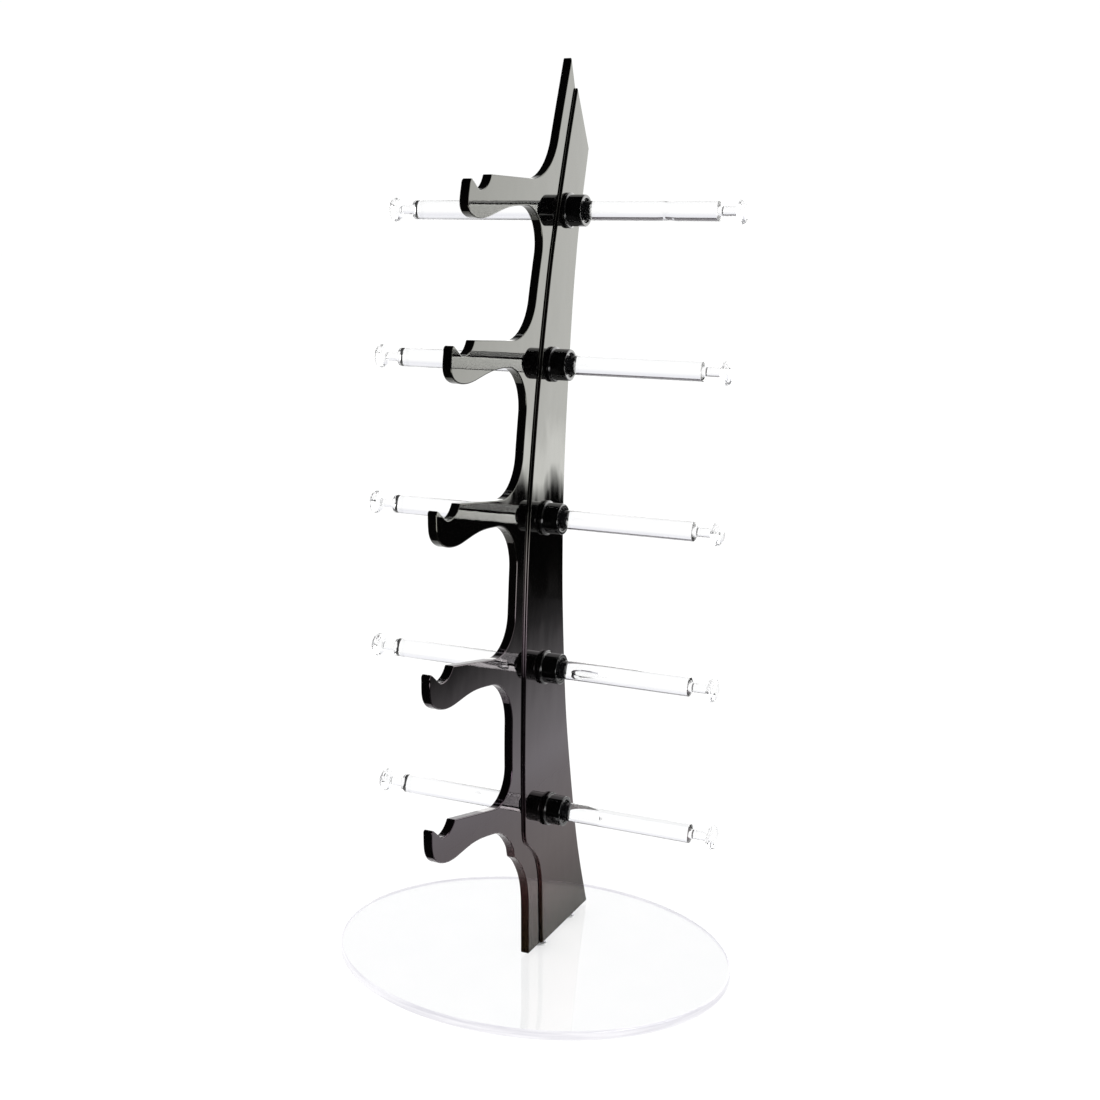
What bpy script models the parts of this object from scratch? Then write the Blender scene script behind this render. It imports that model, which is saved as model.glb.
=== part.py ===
"""Eyeglass display rack: a bow-shaped gloss black upright with five forward
hooks, ten clear pegs on black collars, and a clear oval base plate.

Frame: +Z up, +Y to the back, pegs along X. The origin is the centre of the base
plate's underside. All dimensions below are in millimetres; meshes are in metres.
The upright's heights are counted from the base plate's top face.
"""
import math

import bpy

MM = 0.001

# Gap between pieces that touch, per side.
GAP = 0.3

# Base plate: a clear oval with a small chamfer round its rim.
BASE_HALF_WIDTH = 88.0
BASE_HALF_DEPTH = 68.6
BASE_THICKNESS = 4.0
BASE_CHAMFER = 0.5
BASE_SEGMENTS = 72

# Upright: a thin web that carries the hooks, with a thicker rear part.
WEB_HALF = 1.9
REAR_HALF = 3.0

# Edges of the upright as (height, y) points that a smooth curve passes through.
FRONT_EDGE = [
    (40.0, -17.6), (60.0, -20.2), (80.0, -21.7), (100.0, -21.9), (120.0, -20.9), (155.0, -18.2),
    (185.0, -15.3), (225.0, -9.6), (275.0, 0.6), (300.0, 8.0), (338.0, 21.0), (374.0, 35.3),
]
BACK_EDGE = [
    (0.0, 52.2), (22.0, 44.8), (40.0, 39.9), (68.0, 34.2), (100.0, 29.0), (133.0, 26.3),
    (163.0, 25.2), (205.0, 26.6), (255.0, 32.0), (300.0, 39.4), (338.7, 50.5),
]
STEP_EDGE = [
    (58.0, -12.1), (85.0, -12.4), (110.0, -11.9), (150.0, -10.2), (190.0, -6.7), (220.0, -1.9),
    (250.0, 3.9), (275.0, 9.8), (300.0, 16.6), (338.0, 29.7), (362.4, 39.0),
]
APEX = (35.3, 374.0)

# The foot steps back below the lowest hook; (y, height) corners, top to bottom.
FOOT_FRONT = [
    (-20.2, 49.8), (-16.2, 46.4), (-13.0, 42.2), (-10.3, 37.5), (-8.5, 32.5), (-7.5, 27.0), (-7.2, 20.0),
]
FOOT_STEP = [(-11.1, 53.4), (-7.6, 49.6), (-3.4, 45.8), (0.4, 41.0), (2.6, 35.2), (3.8, 28.5)]
FOOT_CLEARANCE = 3.0
FOOT_FRONT_Y = -7.3
FOOT_STEP_Y = 4.6

# One entry per tier, top to bottom: peg axis, notch bottom, the hook's tilt up from level, and
# how far the nub leans forward for each unit of height.
PEG_Y = [29.6, 14.7, 7.8, 6.4, 10.2]
PEG_HEIGHT = [313.6, 252.3, 189.6, 125.6, 60.8]
NOTCH_Y = [-44.6, -59.6, -72.8, -79.8, -80.4]
NOTCH_HEIGHT = [321.8, 262.3, 203.4, 143.0, 81.9]
HOOK_TILT = [2.0, 5.0, 7.7, 11.0, 13.4]
NUB_LEAN = [0.0, 0.16, 0.4, 0.42, 0.5]

# The hook in its own axes: u runs out along the arm and w stands square to it,
# both from the bottom of the notch.
ARM_TOP = 5.8
ARM_UNDERSIDE = -4.6
NOTCH_RADIUS = 9.0
NOTCH_CENTRE_U = 0.3
NUB = [
    (2.6, 0.9), (5.9, 3.2), (6.6, 3.6), (7.5, 3.6), (8.3, 3.0), (9.1, 0.6), (9.8, -2.2), (10.1, -4.2),
    (9.9, -6.2), (8.6, -8.2), (6.0, -9.6), (2.2, -10.3), (-2.2, -10.3), (-6.5, -9.7),
    (-12.0, -8.4), (-18.0, -6.9), (-24.0, -5.7), (-30.0, -5.0), (-36.0, -4.7),
]
FILLET_ABOVE = 17.0
FILLET_BELOW = 18.5
FILLET_STEPS = 8
NOTCH_STEPS = 7
NOTCH_END_DEG = 275.0
EDGE_STEPS = 30
BAY_STEPS = 3

# Studs join each pair of collars through the upright and screw into the pegs.
STUD_RADIUS = 2.5
STUD_HALF = 13.2
STUD_CHAMFER = 0.5

# Collars stand on the upright's rear part.
COLLAR_START = REAR_HALF + GAP
COLLAR_END = 11.2
COLLAR_FLANGE_RADIUS = 7.2
COLLAR_FLANGE_END = 4.5
COLLAR_RADIUS = 6.4
COLLAR_CHAMFER = 0.6
COLLAR_RECESS_RADIUS = 5.0
COLLAR_RECESS_DEPTH = 1.2

# Pegs: clear rods with a shoulder, a narrow neck and a flattened ball at the end.
PEG_START = COLLAR_END - COLLAR_RECESS_DEPTH + GAP
PEG_RADIUS = 4.0
PEG_CHAMFER = 0.4
PEG_SHOULDER = 68.4
NECK_RADIUS = 1.95
KNOB_CENTRE = 78.0
KNOB_RADIUS = 5.0
KNOB_HALF_LENGTH = 2.6
KNOB = [(-1.0, 0.5), (-0.75, 0.8), (-0.3, 0.98), (0.3, 0.98), (0.75, 0.8), (1.0, 0.4)]
SHOULDER_CHAMFER = 1.0
NECK_START = PEG_SHOULDER + 0.6
PEG_BORE_END = STUD_HALF + GAP

# Two countersunk screws hold the foot down from below.
SCREW_Y = {"front": 7.0, "rear": 37.0}
SCREW_RADIUS = 1.5
SCREW_HEAD_RADIUS = 3.0
SCREW_HEAD_HEIGHT = 1.6
SCREW_LIP = 0.3
SCREW_BOTTOM = 0.3
SCREW_TOP = 15.0
SCREW_POINT = 1.0
SCREW_TIP_RADIUS = 0.5

ROUND_SEGMENTS = 20
STUD_SEGMENTS = 16
SHARP_ANGLE_DEG = 35.0


def clear_scene():
    for obj in list(bpy.data.objects):
        bpy.data.objects.remove(obj, do_unlink=True)


def material(name, colour, roughness, transmission=0.0, metallic=0.0):
    """A Principled material with one colour."""
    made = bpy.data.materials.new(name)
    made.use_nodes = True
    shader = made.node_tree.nodes["Principled BSDF"]
    shader.inputs["Base Color"].default_value = (*colour, 1.0)
    shader.inputs["Roughness"].default_value = roughness
    shader.inputs["Metallic"].default_value = metallic
    shader.inputs["Transmission Weight"].default_value = transmission
    return made


def add_object(name, points, faces, finish):
    """A mesh object from points in millimetres, smooth except at its sharp edges."""
    mesh = bpy.data.meshes.new(name)
    mesh.from_pydata([(x * MM, y * MM, z * MM) for x, y, z in points], [], faces)
    mesh.validate()
    mesh.shade_smooth()
    mesh.set_sharp_from_angle(angle=math.radians(SHARP_ANGLE_DEG))
    obj = bpy.data.objects.new(name, mesh)
    bpy.context.scene.collection.objects.link(obj)
    if finish:
        mesh.materials.append(finish)
    return obj


def turned(name, profile, finish, segments=ROUND_SEGMENTS, closed=False):
    """A solid turned about X from (x, radius) points.

    An open profile starts and ends on the axis; a closed one is a ring's section.
    The profile runs so that the solid lies on its right-hand side.
    """
    points = []
    rings = []
    for x, radius in profile:
        if radius == 0:
            rings.append([len(points)])
            points.append((x, 0.0, 0.0))
            continue
        rings.append([len(points) + k for k in range(segments)])
        for k in range(segments):
            angle = 2 * math.pi * k / segments
            points.append((x, radius * math.cos(angle), radius * math.sin(angle)))
    pairs = list(zip(rings, rings[1:]))
    if closed:
        pairs.append((rings[-1], rings[0]))
    faces = []
    for first, second in pairs:
        for k in range(segments):
            after = (k + 1) % segments
            corners = [first[k % len(first)], first[after % len(first)]]
            corners += [second[after % len(second)], second[k % len(second)]]
            faces.append(list(dict.fromkeys(corners)))
    return add_object(name, points, faces, finish)


def cut(obj, cutter):
    """Cut a hidden tool out of an object."""
    cutter.hide_render = True
    cutter.display_type = "WIRE"
    boolean = obj.modifiers.new(cutter.name, "BOOLEAN")
    boolean.operation = "DIFFERENCE"
    boolean.object = cutter


def slope(table, i):
    first = table[max(i - 1, 0)]
    last = table[min(i + 1, len(table) - 1)]
    return (last[1] - first[1]) / (last[0] - first[0])


def edge_y(table, height):
    """Y of one of the upright's edges: a cubic curve through the table's points."""
    i = 0
    while i < len(table) - 2 and height > table[i + 1][0]:
        i += 1
    span = table[i + 1][0] - table[i][0]
    t = (height - table[i][0]) / span
    ends = (1 + 2 * t) * (1 - t) ** 2 * table[i][1] + t * t * (3 - 2 * t) * table[i + 1][1]
    bend = t * (1 - t) ** 2 * slope(table, i) - t * t * (1 - t) * slope(table, i + 1)
    return ends + span * bend


def from_hook(tier, u, w):
    """(y, height) of a point given in a hook's own axes."""
    tilt = math.radians(HOOK_TILT[tier])
    y = NOTCH_Y[tier] - u * math.cos(tilt) + w * math.sin(tilt)
    return y, NOTCH_HEIGHT[tier] + u * math.sin(tilt) + w * math.cos(tilt)


def arm_root(tier, w):
    """The u at which the hook's line of height w meets the front edge."""
    low, high = -150.0, 0.0
    while high - low > 0.001:
        middle = (low + high) / 2
        y, height = from_hook(tier, middle, w)
        if y > edge_y(FRONT_EDGE, height):
            low = middle
        else:
            high = middle
    return low


def fillet(start, corner, end):
    """Arc from start to end, which lie at one distance from the corner between them."""
    run = math.dist(start, corner)
    ways = [((p[0] - corner[0]) / run, (p[1] - corner[1]) / run) for p in (start, end)]
    half = math.acos(ways[0][0] * ways[1][0] + ways[0][1] * ways[1][1]) / 2
    radius = run * math.tan(half)
    reach = radius / math.sin(half) / (2 * math.cos(half))
    centre = [corner[k] + (ways[0][k] + ways[1][k]) * reach for k in (0, 1)]
    first = math.atan2(start[1] - centre[1], start[0] - centre[0])
    turn = math.atan2(end[1] - centre[1], end[0] - centre[0]) - first
    turn = (turn + math.pi) % (2 * math.pi) - math.pi
    angles = [first + turn * k / FILLET_STEPS for k in range(FILLET_STEPS + 1)]
    return [(centre[0] + radius * math.cos(a), centre[1] + radius * math.sin(a)) for a in angles]


def notch(tier):
    """The rear wall and bottom of the notch: one arc from the arm's top to the bottom."""
    top = math.pi + math.asin((NOTCH_RADIUS - ARM_TOP) / NOTCH_RADIUS)
    bottom = math.radians(NOTCH_END_DEG)
    points = []
    for k in range(NOTCH_STEPS + 1):
        angle = top + (bottom - top) * k / NOTCH_STEPS
        u = NOTCH_CENTRE_U + NOTCH_RADIUS * math.cos(angle)
        points.append(from_hook(tier, u, NOTCH_RADIUS + NOTCH_RADIUS * math.sin(angle)))
    return points


def on_front(height):
    return edge_y(FRONT_EDGE, height), height


def hook(tier):
    """The outline of one hook, from the front edge above it to the front edge below."""
    root = arm_root(tier, ARM_TOP)
    corner = from_hook(tier, root, ARM_TOP)
    start = on_front(corner[1] + FILLET_ABOVE)
    run = math.dist(start, corner)
    points = fillet(start, corner, from_hook(tier, root + run, ARM_TOP))
    points += notch(tier)
    points += [from_hook(tier, u + NUB_LEAN[tier] * w, w) for u, w in NUB]
    root = arm_root(tier, ARM_UNDERSIDE)
    corner = from_hook(tier, root, ARM_UNDERSIDE)
    end = on_front(corner[1] - FILLET_BELOW)
    run = math.dist(end, corner)
    return points + fillet(from_hook(tier, root + run, ARM_UNDERSIDE), corner, end)


def front_line():
    """The upright's front outline from the apex down to the foot."""
    points = [APEX]
    for tier in range(len(PEG_Y)):
        arm = hook(tier)
        above, below = points[-1][1], arm[0][1]
        for k in range(1, BAY_STEPS + 1):
            points.append(on_front(above + (below - above) * k / (BAY_STEPS + 1)))
        points += arm
    while points[-1][1] < FOOT_FRONT[0][1] + FOOT_CLEARANCE:
        points.pop()
    return points + FOOT_FRONT + [(FOOT_FRONT_Y, 0.0)]


def table_line(table):
    """Points along one of the upright's edges, bottom to top."""
    low, high = table[0][0], table[-1][0]
    heights = [low + (high - low) * k / EDGE_STEPS for k in range(EDGE_STEPS + 1)]
    return [(edge_y(table, height), height) for height in heights]


def build_upright(finish):
    """The upright: web and hooks between +-WEB_HALF, rear part between +-REAR_HALF."""
    front = front_line()
    step = [(FOOT_STEP_Y, 0.0)] + FOOT_STEP[::-1] + table_line(STEP_EDGE)
    back = table_line(BACK_EDGE)
    points = []

    def layer(line, x):
        start = len(points)
        points.extend((x, y, height + BASE_THICKNESS) for y, height in line)
        return list(range(start, len(points)))

    sides = {}
    for side in (1, -1):
        web_front = layer(front, side * WEB_HALF)
        web_step = layer(step, side * WEB_HALF)
        rear_step = layer(step, side * REAR_HALF)
        rear_back = layer(back, side * REAR_HALF)
        sides[side] = (web_front, web_step, rear_step, rear_back)
    faces = []
    for side, (web_front, web_step, rear_step, rear_back) in sides.items():
        web = web_front + web_step
        rear = rear_back + rear_step[::-1]
        shelf = [[a, b, c, d] for a, b, c, d in zip(rear_step, rear_step[1:], web_step[1:], web_step)]
        for face in [web, rear] + shelf:
            faces.append(face if side == 1 else face[::-1])
    right, left = sides[1], sides[-1]
    faces += strip(right[0], left[0])
    faces += strip(right[3], left[3])
    faces += ends(right, left)
    upright = add_object("upright", points, faces, finish)
    reach = REAR_HALF + 1
    radius = STUD_RADIUS + GAP
    profile = [(-reach, 0), (-reach, radius), (reach, radius), (reach, 0)]
    for tier, (y, height) in enumerate(zip(PEG_Y, PEG_HEIGHT), 1):
        drill = turned("stud_hole_%d" % tier, profile, None)
        drill.location = (0, y * MM, (height + BASE_THICKNESS) * MM)
        cut(upright, drill)
    return upright


def strip(right, left):
    """The wall between the right and the left copy of one line."""
    return [[a, c, d, b] for a, b, c, d in zip(right, right[1:], left, left[1:])]


def ends(right, left):
    """The foot's underside, and the back wall where the rear part runs out below the apex."""
    faces = [[right[1][-1], left[1][-1], left[0][0], right[0][0]]]
    faces.append([right[3][-1], left[3][-1], left[1][-1], right[1][-1]])
    faces.append([right[2][-1], right[3][-1], right[1][-1]])
    faces.append([left[3][-1], left[2][-1], left[1][-1]])
    faces.append([left[0][-1], left[1][0], right[1][0], right[0][-1]])
    faces.append([left[1][0], left[3][0], right[3][0], right[1][0]])
    faces.append([right[3][0], right[2][0], right[1][0]])
    faces.append([left[2][0], left[3][0], left[1][0]])
    return faces


def build_base(finish):
    """The clear oval plate, with countersunk holes for the two screws."""
    rings = [(BASE_CHAMFER, 0.0), (0.0, BASE_CHAMFER)]
    rings += [(0.0, BASE_THICKNESS - BASE_CHAMFER), (BASE_CHAMFER, BASE_THICKNESS)]
    points = []
    for inset, height in rings:
        for k in range(BASE_SEGMENTS):
            angle = 2 * math.pi * k / BASE_SEGMENTS
            x = (BASE_HALF_WIDTH - inset) * math.cos(angle)
            points.append((x, (BASE_HALF_DEPTH - inset) * math.sin(angle), height))
    faces = [list(range(BASE_SEGMENTS))[::-1]]
    faces.append(list(range(len(points) - BASE_SEGMENTS, len(points))))
    for ring in range(len(rings) - 1):
        for k in range(BASE_SEGMENTS):
            after = (k + 1) % BASE_SEGMENTS
            low, high = ring * BASE_SEGMENTS, (ring + 1) * BASE_SEGMENTS
            faces.append([low + k, low + after, high + after, high + k])
    return add_object("base_plate", points, faces, finish)


def upward(obj, y):
    """Stand an object that was turned about X on the Z axis, at a screw's place."""
    obj.rotation_euler = (0, -math.pi / 2, 0)
    obj.location = (0, y * MM, 0)
    return obj


def build_screw(name, y, finish):
    """A countersunk screw: flat head, tapered seat, shank and a blunt point."""
    seat = SCREW_BOTTOM + SCREW_HEAD_HEIGHT
    profile = [(SCREW_BOTTOM, 0), (SCREW_BOTTOM, SCREW_HEAD_RADIUS)]
    profile += [(SCREW_BOTTOM + SCREW_LIP, SCREW_HEAD_RADIUS), (seat, SCREW_RADIUS)]
    profile += [(SCREW_TOP - SCREW_POINT, SCREW_RADIUS), (SCREW_TOP, SCREW_TIP_RADIUS), (SCREW_TOP, 0)]
    return upward(turned(name, profile, finish), y)


def screw_hole(name, y):
    """The countersunk hole through the base plate, and the blind one in the foot."""
    mouth = SCREW_HEAD_RADIUS + GAP
    radius = SCREW_RADIUS + GAP
    seat = SCREW_BOTTOM + SCREW_HEAD_HEIGHT
    profile = [(-1, 0), (-1, mouth), (SCREW_BOTTOM + SCREW_LIP, mouth), (seat, radius)]
    profile += [(SCREW_TOP + GAP, radius), (SCREW_TOP + GAP, 0)]
    return upward(turned(name, profile, None), y)


def build_stud(tier, finish):
    start = STUD_HALF - STUD_CHAMFER
    tip = STUD_RADIUS - STUD_CHAMFER
    profile = [(-STUD_HALF, 0), (-STUD_HALF, tip), (-start, STUD_RADIUS)]
    profile += [(start, STUD_RADIUS), (STUD_HALF, tip), (STUD_HALF, 0)]
    return turned("stud_%d" % tier, profile, finish, segments=STUD_SEGMENTS)


def collar_profile():
    """A flanged sleeve with a shallow recess for the peg, from COLLAR_START outwards."""
    bore = STUD_RADIUS + GAP
    recess = COLLAR_END - COLLAR_RECESS_DEPTH
    profile = [(COLLAR_START, bore), (COLLAR_START, COLLAR_FLANGE_RADIUS)]
    profile += [(COLLAR_FLANGE_END, COLLAR_FLANGE_RADIUS), (COLLAR_FLANGE_END, COLLAR_RADIUS)]
    profile += [(COLLAR_END - COLLAR_CHAMFER, COLLAR_RADIUS), (COLLAR_END, COLLAR_RADIUS - COLLAR_CHAMFER)]
    profile += [(COLLAR_END, COLLAR_RECESS_RADIUS), (recess, COLLAR_RECESS_RADIUS), (recess, bore)]
    return profile


def peg_profile():
    """Rod, shoulder, neck and knob, with the tapped bore at the root. X starts at the root."""
    bore = STUD_RADIUS + GAP
    profile = [(PEG_BORE_END, 0), (PEG_BORE_END, bore), (PEG_START, bore)]
    profile += [(PEG_START, PEG_RADIUS - PEG_CHAMFER), (PEG_START + PEG_CHAMFER, PEG_RADIUS)]
    profile += [(PEG_SHOULDER - SHOULDER_CHAMFER, PEG_RADIUS), (PEG_SHOULDER, PEG_RADIUS - SHOULDER_CHAMFER)]
    profile += [(NECK_START, NECK_RADIUS)]
    profile += [(KNOB_CENTRE + KNOB_HALF_LENGTH * x, KNOB_RADIUS * radius) for x, radius in KNOB]
    profile += [(KNOB_CENTRE + KNOB_HALF_LENGTH, 0)]
    return [(x - PEG_START, radius) for x, radius in profile]


def build_tier(tier, finishes):
    """Stud, two collars and two pegs on one axis; each peg's origin is on its own joint axis."""
    y, z = PEG_Y[tier - 1] * MM, (PEG_HEIGHT[tier - 1] + BASE_THICKNESS) * MM
    stud = build_stud(tier, finishes["steel"])
    stud.location = (0, y, z)
    for side, sign, turn in (("right", 1, 0.0), ("left", -1, math.pi)):
        collar = turned("collar_%d_%s" % (tier, side), collar_profile(), finishes["collar"], closed=True)
        collar.location = (0, y, z)
        collar.rotation_euler = (0, 0, turn)
        peg = turned("peg_%d_%s" % (tier, side), peg_profile(), finishes["clear"])
        peg.location = (sign * PEG_START * MM, y, z)
        peg.rotation_euler = (0, 0, turn)


def main():
    clear_scene()
    finishes = {
        "black": material("gloss_black", (0.012, 0.012, 0.013), 0.05),
        "collar": material("collar_black", (0.01, 0.01, 0.01), 0.25),
        "clear": material("clear_acrylic", (0.95, 0.97, 0.98), 0.02, transmission=1.0),
        "steel": material("steel", (0.25, 0.25, 0.26), 0.3, metallic=1.0),
    }
    upright = build_upright(finishes["black"])
    base = build_base(finishes["clear"])
    for place, y in SCREW_Y.items():
        build_screw("base_screw_%s" % place, y, finishes["steel"])
        drill = screw_hole("screw_hole_%s" % place, y)
        cut(upright, drill)
        cut(base, drill)
    for tier in range(1, len(PEG_Y) + 1):
        build_tier(tier, finishes)


main()
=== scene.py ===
"""Looks of the eyeglass display rack: a bow-shaped gloss black upright with five
hooks, black collars, clear pegs and a clear oval base, in a plain white studio.

The rack's dimensions are in millimetres and are multiplied by MM where a mesh is made;
the camera's and the studio's are in metres.
"""
import math

import bpy
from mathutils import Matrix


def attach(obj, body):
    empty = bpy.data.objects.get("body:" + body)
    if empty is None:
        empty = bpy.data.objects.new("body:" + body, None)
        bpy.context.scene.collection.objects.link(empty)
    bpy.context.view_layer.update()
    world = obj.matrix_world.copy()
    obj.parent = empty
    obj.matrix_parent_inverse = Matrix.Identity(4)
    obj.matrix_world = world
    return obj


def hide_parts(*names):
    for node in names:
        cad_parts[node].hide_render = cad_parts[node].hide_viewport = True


MM = 0.001

# Camera.
CAMERA_PLACE = (0.2764, -0.5691, 0.3241)
CAMERA_TURN_DEG = (77.27, 0.0, 25.19)
CAMERA_LENS = 51.55

# The CAD part's own dimensions.
GAP = 0.3
BASE_HALF_WIDTH = 88.0
BASE_HALF_DEPTH = 68.6
BASE_THICKNESS = 4.0
WEB_HALF = 1.9
REAR_HALF = 3.0
FRONT_EDGE = [
    (40.0, -17.6), (60.0, -20.2), (80.0, -21.7), (100.0, -21.9), (120.0, -20.9), (155.0, -18.2),
    (185.0, -15.3), (225.0, -9.6), (275.0, 0.6), (300.0, 8.0), (338.0, 21.0), (374.0, 35.3),
]
BACK_EDGE = [
    (0.0, 52.2), (22.0, 44.8), (40.0, 39.9), (68.0, 34.2), (100.0, 29.0), (133.0, 26.3),
    (163.0, 25.2), (205.0, 26.6), (255.0, 32.0), (300.0, 39.4), (338.7, 50.5),
]
STEP_EDGE = [
    (58.0, -12.1), (85.0, -12.4), (110.0, -11.9), (150.0, -10.2), (190.0, -6.7), (220.0, -1.9),
    (250.0, 3.9), (275.0, 9.8), (300.0, 16.6), (338.0, 29.7), (362.4, 39.0),
]
APEX = (35.3, 374.0)
FOOT_FRONT = [
    (-20.2, 49.8), (-16.2, 46.4), (-13.0, 42.2), (-10.3, 37.5), (-8.5, 32.5), (-7.5, 27.0), (-7.2, 20.0),
]
FOOT_STEP = [(-11.1, 53.4), (-7.6, 49.6), (-3.4, 45.8), (0.4, 41.0), (2.6, 35.2), (3.8, 28.5)]
FOOT_CLEARANCE = 3.0
FOOT_FRONT_Y = -7.3
FOOT_STEP_Y = 4.6
PEG_Y = [29.6, 14.7, 7.8, 6.4, 10.2]
PEG_HEIGHT = [313.6, 252.3, 189.6, 125.6, 60.8]
NOTCH_Y = [-44.6, -59.6, -72.8, -79.8, -80.4]
NOTCH_HEIGHT = [321.8, 262.3, 203.4, 143.0, 81.9]
HOOK_TILT = [2.0, 5.0, 7.7, 11.0, 13.4]
NUB_LEAN = [0.0, 0.16, 0.4, 0.42, 0.5]
ARM_TOP = 5.8
ARM_UNDERSIDE = -4.6
NOTCH_RADIUS = 9.0
NOTCH_CENTRE_U = 0.3
NOTCH_END_DEG = 275.0
NUB = [
    (2.6, 0.9), (5.9, 3.2), (6.6, 3.6), (7.5, 3.6), (8.3, 3.0), (9.1, 0.6), (9.8, -2.2), (10.1, -4.2),
    (9.9, -6.2), (8.6, -8.2), (6.0, -9.6), (2.2, -10.3), (-2.2, -10.3), (-6.5, -9.7),
    (-12.0, -8.4), (-18.0, -6.9), (-24.0, -5.7), (-30.0, -5.0), (-36.0, -4.7),
]
FILLET_ABOVE = 17.0
FILLET_BELOW = 18.5
STUD_RADIUS = 2.5
STUD_HALF = 13.2
COLLAR_START = REAR_HALF + GAP
COLLAR_END = 11.2
PEG_START = 10.3
PEG_BORE_END = STUD_HALF + GAP
FLANGE_RADIUS = 7.2
FLANGE_END = 4.5
COLLAR_RADIUS = 6.4
RECESS_RADIUS = 5.0
RECESS_DEPTH = 1.2
KNOB_CENTRE = 78.0
KNOB_HALF_LENGTH = 2.6
SCREW_Y = {"front": 7.0, "rear": 37.0}

# Finer shape of the turned parts, on or just inside the CAD part's.
PEG_RADIUS = 3.98
PEG_SHOULDER = 67.8
SHOULDER_END = 68.3
NECK_START = 69.1
NECK_END = 75.2
NECK_RADIUS = 1.9
KNOB_RADIUS = 4.95
KNOB_RING_DEPTH = 0.012
KNOB_RINGS = 14
COLLAR_ROUNDING = 0.35
PEG_ROUNDING = 0.4
THREAD_PITCH = 0.7
STUD_THREADS = 32

# How finely the curves are drawn here.
FILLET_STEPS = 26
NOTCH_STEPS = 22
EDGE_STEPS = 150
SPLINE_STEPS = 6
EDGE_ROUNDING = 0.45
TURNED_SEGMENTS = 64
BASE_SEGMENTS = 256
KNOB_START_DEG = 158.0
KNOB_STEPS = 56

# Studio, in metres: the floor, the light sheets just above it, and the swings along the
# bright wall's lower edge.
FLOOR_HALF = 6.0
FLOOR_HEIGHT = -0.0003
SHEET_HEIGHT = -0.0002
SWING_LENGTH = 0.022
SWING_PHASE = 1.7
SUN_STRENGTH = 0.45
WHITE = (1.0, 1.0, 1.0)

# What clear parts and glossy parts show of the sky, by its height.
GLASS_SKY_STRENGTH = 1.3
GLOSS_SKY_STRENGTH = 2.4
GLASS_SKY = [
    (0.0, (0.84, 0.84, 0.84)), (0.1, (0.8, 0.8, 0.8)), (0.28, (0.7, 0.7, 0.73)),
    (0.6, (0.65, 0.65, 0.68)), (0.8, (0.24, 0.24, 0.26)), (1.0, (0.16, 0.16, 0.17)),
]
GLOSS_SKY = [
    (0.0, (1.0, 1.0, 0.98)), (0.18, (1.0, 1.0, 0.98)), (0.28, (0.25, 0.25, 0.25)),
    (0.42, (0.25, 0.25, 0.25)), (0.55, (0.005, 0.005, 0.005)),
]

# Flaws in the rods: a slight waist as (X, half length, depth), and bubbles as
# (X, Y, Z from the axis, half length, radius).
WAISTS = {(1, "right"): (47.0, 4.2, 0.3)}
BUBBLES = {
    (4, "right"): [(24.5, -0.9, -0.2, 8.0, 1.3), (19.5, -0.8, -1.3, 3.0, 1.0)],
    (5, "right"): [(28.6, -0.5, 0.0, 0.6, 0.7)],
    (5, "left"): [(31.0, -0.5, 0.7, 1.6, 0.25), (70.0, 0.0, 0.5, 0.4, 0.3)],
}

# ---------------------------------------------------------------- materials

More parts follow.
